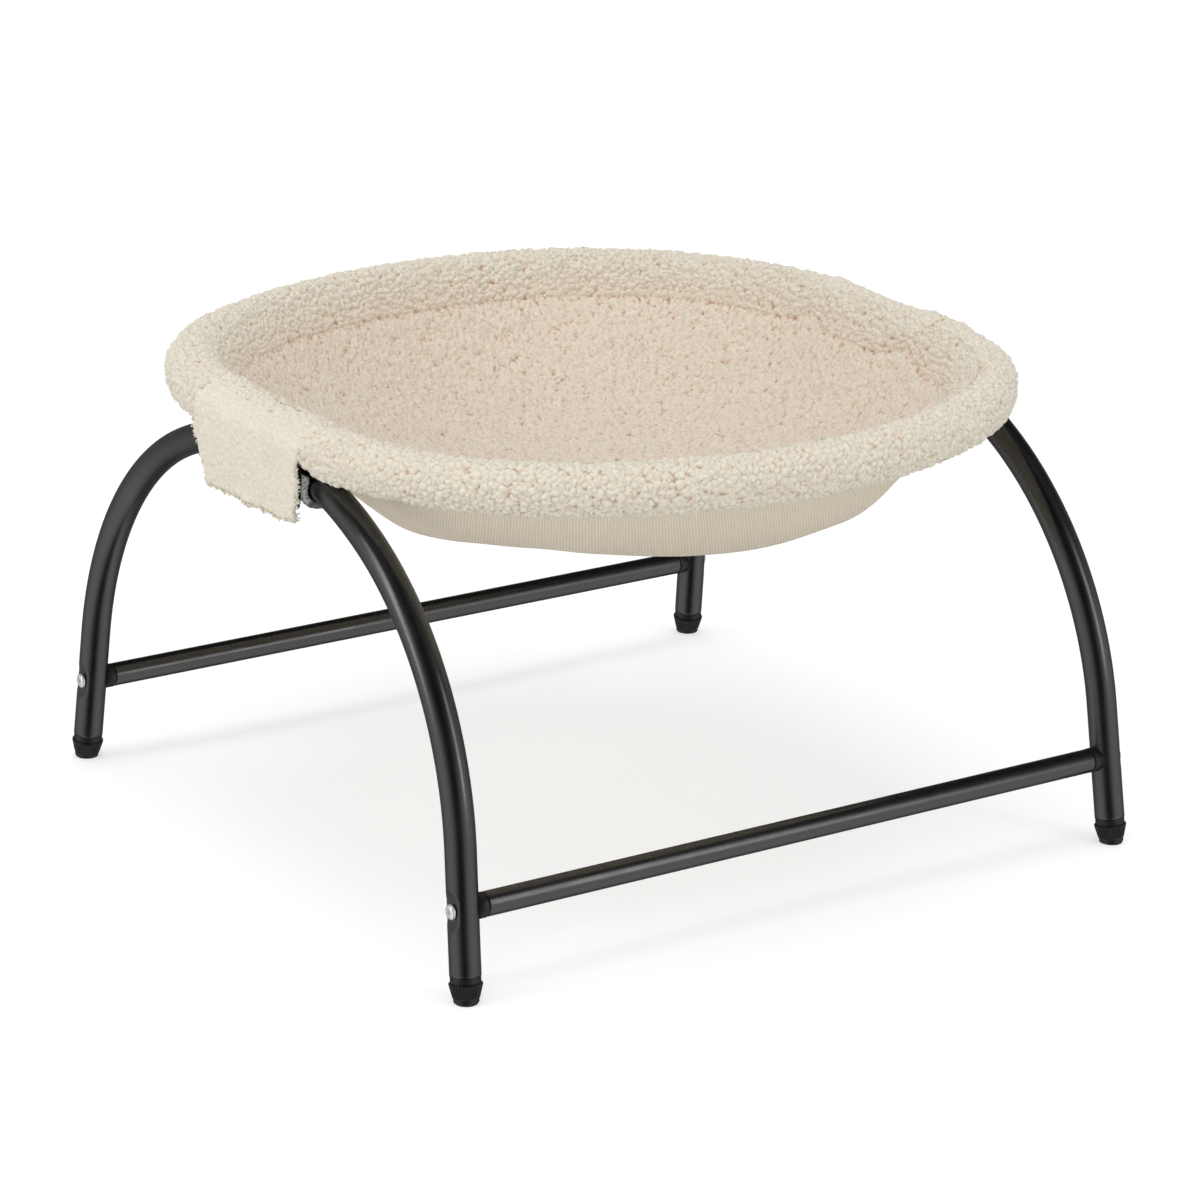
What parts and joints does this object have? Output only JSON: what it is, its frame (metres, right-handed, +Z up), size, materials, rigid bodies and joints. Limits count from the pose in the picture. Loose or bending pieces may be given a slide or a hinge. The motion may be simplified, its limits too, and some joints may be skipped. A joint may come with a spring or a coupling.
{
  "type": "elevated pet bed",
  "caption": "Raised round pet bed: a fleece bowl slung from a covered hoop on two arched tube legs tied by crossbars, with hook-and-loop flaps.",
  "frame": {"origin": "on the floor, under the middle of the bed", "axes": "+X from the left arch to the right arch, -Y towards the front, +Z up"},
  "size_m": [0.5328, 0.5474, 0.3194],
  "materials": {
    "powder_coat": "satin black powder coat",
    "black_plastic": "moulded, fine satin",
    "zinc": "bright zinc plate",
    "fleece": "cream curly pile fleece",
    "rib_knit": "beige fine rib knit",
    "hook_tape": "black nylon hook tape",
    "loop_tape": "grey brushed loop tape"
  },
  "bodies": {
    "root": {"left_arch": "powder_coat", "left_wrap": "fleece", "left_loop_tape": "loop_tape", "right_arch": "powder_coat", "right_wrap": "fleece", "right_loop_tape": "loop_tape", "front_crossbar": "powder_coat", "front_hoop": "powder_coat", "front_sleeve": "fleece", "front_left_foot": "black_plastic", "front_left_plug": "black_plastic", "front_left_insert": "zinc", "front_left_bolt": "zinc", "front_left_hoop_bolt": "zinc", "front_left_rivet_nut": "zinc", "front_right_foot": "black_plastic", "front_right_plug": "black_plastic", "front_right_insert": "zinc", "front_right_bolt": "zinc", "front_right_hoop_bolt": "zinc", "front_right_rivet_nut": "zinc", "rear_crossbar": "powder_coat", "rear_hoop": "powder_coat", "rear_sleeve": "fleece", "rear_left_foot": "black_plastic", "rear_left_plug": "black_plastic", "rear_left_insert": "zinc", "rear_left_bolt": "zinc", "rear_left_hoop_bolt": "zinc", "rear_left_rivet_nut": "zinc", "rear_right_foot": "black_plastic", "rear_right_plug": "black_plastic", "rear_right_insert": "zinc", "rear_right_bolt": "zinc", "rear_right_hoop_bolt": "zinc", "rear_right_rivet_nut": "zinc", "bowl_liner": "fleece", "underside": "rib_knit"},
    "left_flap": {"left_flap": "fleece", "left_hook_tape": "hook_tape"},
    "right_flap": {"right_flap": "fleece", "right_hook_tape": "hook_tape"}
  },
  "joints": [
    {"name": "left_flap_hinge", "type": "hinge", "parent": "root", "child": "left_flap", "pos_m": [-0.26212, 0, 0.30311], "axis": [0, 1, 0], "range_deg": [0, 100]},
    {"name": "right_flap_hinge", "type": "hinge", "parent": "root", "child": "right_flap", "pos_m": [0.26212, 0, 0.30311], "axis": [0, -1, 0], "range_deg": [0, 100]}
  ]
}
